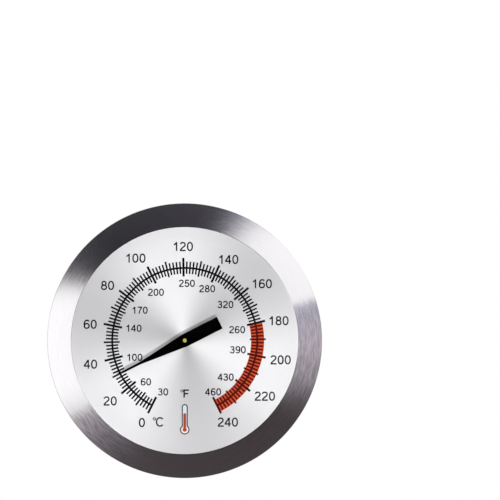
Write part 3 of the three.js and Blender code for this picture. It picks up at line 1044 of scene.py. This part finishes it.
def tip():
    front, rear, outer = reach("tip_plug")
    seat = reach("probe_tube")[1] + 0.1
    shank = outer - PROBE_WALL - 0.1
    corners = [(0, front, 0), (1.65, front, 0.2), (1.65, 60.4, 0.1), (shank, 60.4, 0.15), (shank, seat, 0.02),
               (outer, seat, 0.12), (outer, rear, 2.55), (0, rear, 0)]
    piece = lathe("probe_tip", corners, 128, closed=False, steps=12)
    return dress(piece, probe_steel, "stem", "probe_steel", "tip_plug")


def coil():
    """A fixed helix of bimetal strip between stem and pointer; in the real thermometer the strip twists about its own
    axis as the collar turns, so it bends between stem and pointer.
    """
    low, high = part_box("bimetal_coil")
    start, end = low.y / MM + 0.55, high.y / MM - 0.55
    turns = 13
    section = soft_rectangle(0.24, 1.1, 0.06, 2)
    mesh = sweep_mesh("coil", section, turns * 48, lambda t: (t * turns * TAU, 1.92, start + t * (end - start)))
    piece = mesh_object("coil", mesh)
    piece.data.materials.append(bimetal.material)
    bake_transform(piece)
    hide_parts("bimetal_coil")
    return piece


def clutch():
    inner = NECK_R + 0.3
    front, rear, outer = reach("friction_washer")
    piece = tube("clutch_washer", inner, outer, front, rear, 0.08, 128)
    dress(piece, brass, "stem", "brass", "friction_washer")
    front, rear, outer = reach("wave_washer")
    middle, swing = (front + rear) / 2, 0.3
    section = soft_rectangle(2.4, 0.3, 0.06, 2)
    mesh = sweep_mesh(
        "clutch_spring", section, 144,
        lambda t: (t * TAU, inner + 1.2, middle + swing * math.cos(3 * t * TAU)), closed=True,
    )
    dress(mesh_object("clutch_spring", mesh), zinc_steel, "stem", "zinc_steel", "wave_washer")
    front, rear, _ = reach("retaining_nut")
    corner = 16 / math.sqrt(3)
    hexagon = [(corner * math.cos(TAU * k / 6), corner * math.sin(TAU * k / 6)) for k in range(6)]
    prism = flat_mesh("nut", [hexagon], rear - front)
    prism.transform(Matrix.Translation((0, (front + rear) / 2, 0)))
    cone = lathe_mesh(
        "cone",
        [(0, front - 1), (8.3, front - 1), (8.3, front), (corner + 0.1, front + 0.5), (corner + 0.1, rear - 0.5),
         (8.3, rear), (8.3, rear + 1), (0, rear + 1)],
        96, closed=False,
    )
    bore = lathe_mesh("bore", [(0, front - 1), (inner, front - 1), (inner, rear + 1), (0, rear + 1)], 96, closed=False)
    mesh = combined("clutch_nut", prism, ("INTERSECT", cone), ("DIFFERENCE", bore))
    dress(mesh_object("clutch_nut", mesh, 28), zinc_steel, "stem", "zinc_steel", "retaining_nut")


# ---- clamp ---------------------------------------------------------------------------------
def washers():
    bore = THREAD_R + 0.3
    front, rear, outer = reach("flat_washer")
    corners = [(bore, front, 0.1), (outer, front, 0.12), (outer, rear, 0.45), (bore, rear, 0.35)]
    dress(lathe("wall_washer", corners, 144), zinc_steel, "washers", "zinc_steel", "flat_washer")
    front, rear, _ = reach("lock_washer")
    thick = 1.8
    split = 0.06
    section = soft_rectangle(2.6, thick, 0.2)
    mesh = sweep_mesh(
        "spring_washer", section, 120,
        lambda t: (math.pi * (1 + split) + t * TAU * (1 - split), bore + 1.4, front + thick / 2 + 0.5 * t),
    )
    dress(mesh_object("spring_washer", mesh), zinc_steel, "washers", "zinc_steel", "lock_washer")


def bezier(start, first, second, end, steps=14):
    points = []
    for i in range(1, steps + 1):
        t = i / steps
        a, b, c, d = (1 - t) ** 3, 3 * t * (1 - t) ** 2, 3 * t * t * (1 - t), t ** 3
        points.append(tuple(a * p + b * q + c * r + d * s for p, q, r, s in zip(start, first, second, end)))
    return points


def wing(front, rear):
    """One wing as a plate in the X and Y plane, 2.6 mm thick."""
    outline = [(5.6, front + 0.8), (9.2, front + 1.4)]
    outline += bezier(outline[-1], (13, front + 3), (18.3, front + 7.5), (19.4, front + 12))
    outline += bezier(outline[-1], (19.9, front + 15.4), (15.6, front + 16.2), (13.3, front + 13.6))
    outline += bezier(outline[-1], (11.2, front + 10.6), (9.4, front + 8.6), (5.6, rear - 0.8))
    mesh = flat_mesh("wing", [outline], 2.6, 0.5)
    mesh.transform(Matrix.Rotation(-math.pi / 2, 4, "X"))
    return mesh


def wing_nut():
    """Cast nut: hub and wings melted together, smoothed, then given a plain bore that clears the thread."""
    front, _, _ = reach("wing_nut")
    rear = front + 8
    corners = [(0, front, 0), (8.8, front, 0.3), (8.6, front + 2, 1.0), (7.2, rear, 0.7), (0, rear, 0)]
    hub_mesh = lathe_mesh("hub", fillet(corners, 5), 96, closed=False)
    one = wing(front, rear)
    two = wing(front, rear)
    two.transform(Matrix.Rotation(math.pi, 4, "Y"))
    casting = bpy.data.objects.new("casting", combined("casting", hub_mesh, ("UNION", one), ("UNION", two)))
    bpy.context.scene.collection.objects.link(casting)
    modified(casting, "REMESH", mode="VOXEL", voxel_size=0.3)
    modified(casting, "SMOOTH", factor=0.5, iterations=8)
    mesh = casting.data
    bpy.data.objects.remove(casting)
    bore = THREAD_R + 0.3
    cutter = lathe_mesh(
        "bore",
        [(0, front - 1), (bore + 0.8, front - 1), (bore, front + 0.8), (bore, rear - 0.8), (bore + 0.8, rear + 1),
         (0, rear + 1)],
        128, closed=False,
    )
    face = flat_mesh("face", [circle(0, 0, 25, 64)], 4.0)
    face.transform(Matrix.Translation((0, front - 2.0, 0)))
    mesh = combined("wing", mesh, ("DIFFERENCE", cutter), ("DIFFERENCE", face))
    return dress(mesh_object("wing", mesh, 40), zinc_steel, "wing_nut", "zinc_steel", "wing_nut")


# ---- making the pieces -----------------------------------------------------------------------
bezel()
gasket()
lens()
spacer()
dial()
case()
scale_prints()
numeral_prints()
sign_prints()
pointer_blade()
hub()
spindle()
collar()
stem_bush()
bushes()
probe()
tip()
coil()
clutch()
washers()
wing_nut()


# ---- studio --------------------------------------------------------------------------------
def shade(level, tint):
    return (level * tint[0], level * tint[1], level * tint[2], 1)


WARM = (1.0, 0.83, 0.88)
MAUVE = (1.0, 0.90, 1.0)
COOL = (0.94, 0.91, 1.08)
CLEAR = (1, 1, 1)

# Light and dark stretches of the studio wall round the object, as (dial angle, radiance, tint).
WALL = [
    (-180, 0.075, WARM), (-160, 0.082, WARM), (-150, 0.12, MAUVE), (-140, 0.28, MAUVE), (-131, 0.47, MAUVE),
    (-127.5, 0.57, MAUVE), (-125, 0.9, CLEAR), (-121, 1.15, CLEAR), (-112, 1.34, CLEAR), (-68, 1.34, CLEAR),
    (-64.5, 1.1, CLEAR), (-62, 0.62, CLEAR), (-59.5, 0.28, MAUVE), (-57, 0.13, MAUVE), (-51, 0.062, COOL),
    (-38, 0.04, COOL), (8, 0.062, COOL), (15, 0.1, COOL), (19, 0.23, COOL),
    (23, 0.46, COOL), (27.5, 0.92, CLEAR), (34, 1.22, CLEAR), (42, 1.25, CLEAR),
    (72.0, 1.22, CLEAR), (72.9, 0.68, COOL), (78, 0.60, COOL), (92, 0.66, MAUVE), (110, 0.42, MAUVE),
    (118, 0.13, WARM), (126, 0.07, WARM),
]


# The wall behind the object as (height from 0 to 1, radiance): a broad soft box over a darker room.
OVERHEAD = [(0.38, 0.26), (0.5, 0.42), (0.62, 0.55), (0.68, 1.15), (0.84, 1.15), (0.9, 0.8)]


def studio_world():
    world = bpy.data.worlds.new("studio")
    bpy.context.scene.world = world
    world.use_nodes = True
    tree = world.node_tree
    nodes, links = tree.nodes, tree.links
    nodes.clear()

    def math_node(operation, *values):
        made = nodes.new("ShaderNodeMath")
        made.operation = operation
        for i, value in enumerate(values):
            if isinstance(value, bpy.types.NodeSocket):
                links.new(value, made.inputs[i])
            else:
                made.inputs[i].default_value = value
        return made.outputs[0]

    split = nodes.new("ShaderNodeSeparateXYZ")
    links.new(nodes.new("ShaderNodeTexCoord").outputs["Generated"], split.inputs[0])
    x, y, z = split.outputs
    # the stretches widen upward, so that their edges slant across the bezel
    angle = math_node("ARCTAN2", x, z)
    high = math_node("MULTIPLY_ADD", y, 9.3, 6.0)
    slant = math_node("SINE", math_node("MULTIPLY_ADD", angle, 2.0, math.radians(36)))
    lean = math_node("MULTIPLY", math_node("MULTIPLY", high, slant), math.radians(-2.2))
    turn = math_node("MULTIPLY_ADD", math_node("ADD", angle, lean), 1 / TAU, 0.5)
    ramp = nodes.new("ShaderNodeValToRGB")
    links.new(turn, ramp.inputs[0])
    stops = ramp.color_ramp.elements
    stops[0].position, stops[0].color = 0, shade(*WALL[0][1:])
    stops[1].position, stops[1].color = 1, shade(*WALL[0][1:])
    for angle, level, tint in WALL[1:]:
        stop = stops.new((angle + 180) / 360)
        stop.color = shade(level, tint)
    # the camera looks out of a dark opening, and behind the object is a plain room lit from above
    ahead = math_node("MULTIPLY", y, -1)
    opening = nodes.new("ShaderNodeMapRange")
    links.new(ahead, opening.inputs["Value"])
    opening.inputs["From Min"].default_value = math.cos(math.radians(24))
    opening.inputs["From Max"].default_value = math.cos(math.radians(14))
    opening.inputs["To Min"].default_value = 1.0
    opening.inputs["To Max"].default_value = 0.0
    behind = nodes.new("ShaderNodeMapRange")
    links.new(y, behind.inputs["Value"])
    behind.inputs["From Min"].default_value = -0.05
    behind.inputs["From Max"].default_value = 0.35
    room = nodes.new("ShaderNodeMix")
    room.data_type = "RGBA"
    links.new(behind.outputs[0], room.inputs["Factor"])
    colours = [socket for socket in room.inputs if socket.type == "RGBA"]
    links.new(ramp.outputs[0], colours[0])
    overhead = nodes.new("ShaderNodeValToRGB")
    links.new(math_node("MULTIPLY_ADD", z, 0.5, 0.5), overhead.inputs[0])
    stops = overhead.color_ramp.elements
    stops[0].position, stops[0].color = 0, (0.2, 0.2, 0.21, 1)
    stops[1].position, stops[1].color = 1, (0.7, 0.7, 0.7, 1)
    for height, level in OVERHEAD:
        stops.new(height).color = (level, level, level, 1)
    links.new(overhead.outputs[0], colours[1])
    lit = nodes.new("ShaderNodeBackground")
    links.new(next(socket for socket in room.outputs if socket.type == "RGBA"), lit.inputs["Color"])
    links.new(opening.outputs[0], lit.inputs["Strength"])
    seen = nodes.new("ShaderNodeBackground")
    seen.inputs["Color"].default_value = (1, 1, 1, 1)
    mix = nodes.new("ShaderNodeMixShader")
    links.new(nodes.new("ShaderNodeLightPath").outputs["Is Camera Ray"], mix.inputs[0])
    links.new(lit.outputs[0], mix.inputs[1])
    links.new(seen.outputs[0], mix.inputs[2])
    links.new(mix.outputs[0], nodes.new("ShaderNodeOutputWorld").inputs[0])
    world.cycles.sampling_method = "MANUAL"
    world.cycles.sample_map_resolution = 1024


def collection_of(name, objects):
    made = bpy.data.collections.new(name)
    for obj in objects:
        made.objects.link(obj)
    return made


def area_light(name, size, energy, off_axis, azimuth, distance, lit, shaded):
    """A round lamp aimed at the dial's middle. It lights only lit, and only shaded casts its shadow."""
    data = bpy.data.lights.new(name, "AREA")
    data.shape = "DISK"
    data.size = size
    data.energy = energy
    lamp = bpy.data.objects.new(name, data)
    bpy.context.scene.collection.objects.link(lamp)
    middle = Vector((0, DIAL_FRONT * MM, 0))
    x, z = dial_point(azimuth, math.sin(math.radians(off_axis)))
    toward = Vector((x, -math.cos(math.radians(off_axis)), z))
    lamp.location = middle + toward * distance
    lamp.rotation_euler = toward.to_track_quat("Z", "Y").to_euler()
    lamp.light_linking.receiver_collection = collection_of(name + "_lit", lit)
    lamp.light_linking.blocker_collection = collection_of(name + "_shaded", shaded)


def dial_lights():
    """The key lamp low on the right draws the pointer's narrow shadow, and the fill lamp softens it."""
    face = [o for o in bpy.data.objects if o.name == "dial" or o.name.endswith("_print")]
    raised = [bpy.data.objects["pointer"], bpy.data.objects["hub"]]
    area_light("key", 0.045, 2.85, 23.0, 143.5, 0.7, face + raised[1:], raised)
    area_light("fill", 0.30, 1.68, 4.0, 0.0, 0.7, face + raised[1:], [bpy.data.objects["case"]])


def floor():
    """Pale floor under the object: white, with a soft shade below the object."""
    height = cad_box[0].z - 0.022
    size = 3.0
    corners = [(-size, -size, height), (size, -size, height), (size, size, height), (-size, size, height)]
    mesh = new_mesh("floor", corners, [(0, 1, 2, 3)])
    obj = bpy.data.objects.new("floor", mesh)
    bpy.context.scene.collection.objects.link(obj)
    material = bpy.data.materials.new("floor_white")
    material.use_nodes = True
    tree = material.node_tree
    tree.nodes.clear()
    near = tree.nodes.new("ShaderNodeAmbientOcclusion")
    near.samples = 16
    near.inputs["Distance"].default_value = 0.09
    level = tree.nodes.new("ShaderNodeMapRange")
    level.inputs["To Min"].default_value = 0.72
    tree.links.new(near.outputs["AO"], level.inputs["Value"])
    glow = tree.nodes.new("ShaderNodeEmission")
    tree.links.new(level.outputs[0], glow.inputs["Strength"])
    tree.links.new(glow.outputs[0], tree.nodes.new("ShaderNodeOutputMaterial").inputs[0])
    mesh.materials.append(material)
    obj.visible_diffuse = False
    obj.visible_glossy = False
    obj.visible_transmission = False  # or the lens would mirror it over the lower prints
    obj.visible_shadow = False


CAMERA_DISTANCE = 788.5
CAMERA_PITCH = 1.865  # degrees up
CAMERA_YAW = 1.344  # degrees to the right


def camera():
    """Square in front of the dial and level with it, turned so that the object stands low on the left."""
    data = bpy.data.cameras.new("camera")
    data.lens = 200
    data.sensor_width = 36
    data.clip_start = 0.01
    obj = bpy.data.objects.new("camera", data)
    bpy.context.scene.collection.objects.link(obj)
    obj.location = (0, -CAMERA_DISTANCE * MM, 0)
    obj.rotation_euler = (math.radians(90 + CAMERA_PITCH), 0, math.radians(-CAMERA_YAW))
    bpy.context.scene.camera = obj


studio_world()
dial_lights()
floor()
camera()
bpy.context.scene.view_settings.view_transform = "Standard"
bpy.context.scene.view_settings.look = "None"
